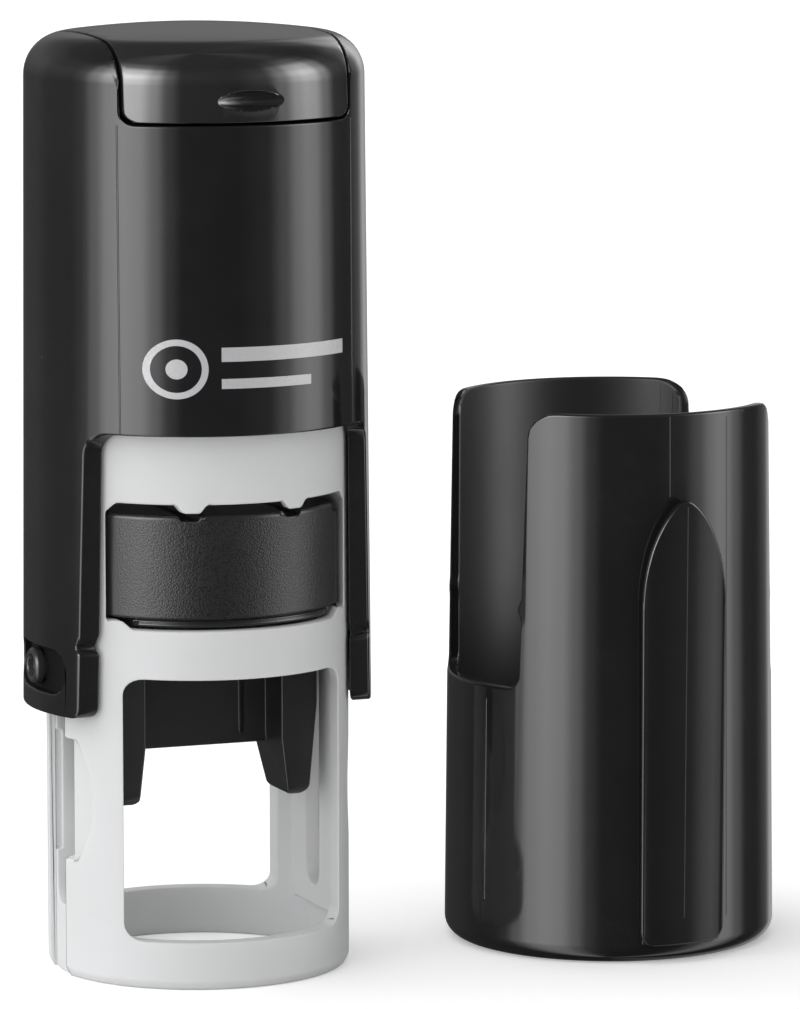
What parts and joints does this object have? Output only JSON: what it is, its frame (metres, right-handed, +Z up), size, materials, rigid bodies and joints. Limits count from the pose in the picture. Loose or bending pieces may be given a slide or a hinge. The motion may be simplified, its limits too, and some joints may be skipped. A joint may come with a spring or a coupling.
{
  "type": "self inking stamp",
  "caption": "Pocket self-inking stamp: a casing pressed down over a frame flips a round die from ink pad to paper; clip-on cap beside it.",
  "frame": {"origin": "on the stamp's axis, in the plane of the paper under its base ring", "axes": "+Z up along the stamp's axis, -Y the front with the thumbnail slot, +X towards the cap standing beside it"},
  "size_m": [0.0563, 0.0271, 0.068],
  "materials": {
    "casing_black": "high gloss, moulded",
    "cover_smoke": "high gloss, smoky black",
    "card": "matt paper card",
    "spring_steel": "drawn wire",
    "frame_grey": "satin, moulded",
    "tray_black": "fine leather grain",
    "ink_felt": "inked felt",
    "carrier_black": "satin, moulded",
    "pin_black": "semi-gloss, moulded",
    "foam": "closed-cell foam",
    "die_rubber": "inked rubber",
    "cap_black": "high gloss, moulded"
  },
  "bodies": {
    "frame": {"base_frame": "frame_grey", "ink_tray": "tray_black", "ink_pad": "ink_felt", "return_spring": "spring_steel"},
    "casing": {"casing": "casing_black", "index_card": "card"},
    "cover": {"index_cover": "cover_smoke"},
    "carrier": {"die_carrier": "carrier_black", "axle_pins": "pin_black", "die_foam": "foam", "rubber_die": "die_rubber"},
    "cap": {"cap_shell": "cap_black", "pocket_clip": "cap_black"}
  },
  "joints": [
    {"name": "press", "type": "slide", "parent": "frame", "child": "casing", "axis": [0, 0, -1], "range_m": [0, 0.016], "stiffness_N_per_m": 400, "springref_m": -0.008, "deforming": ["return_spring"]},
    {"name": "die_flip", "type": "hinge", "parent": "casing", "child": "carrier", "pos_m": [0, 0, 0.0224], "axis": [1, 0, 0], "range_deg": [0, 180]},
    {"name": "cover_lift", "type": "slide", "parent": "casing", "child": "cover", "axis": [0, 0, 1], "range_m": [0, 0.012]},
    {"name": "cap_lift", "type": "slide", "parent": "frame", "child": "cap", "axis": [0, 0, 1], "range_m": [0, 0.05]}
  ],
  "couplings": [
    {"joint": "die_flip", "follows": "press", "rad_per_m": 196.35}
  ]
}
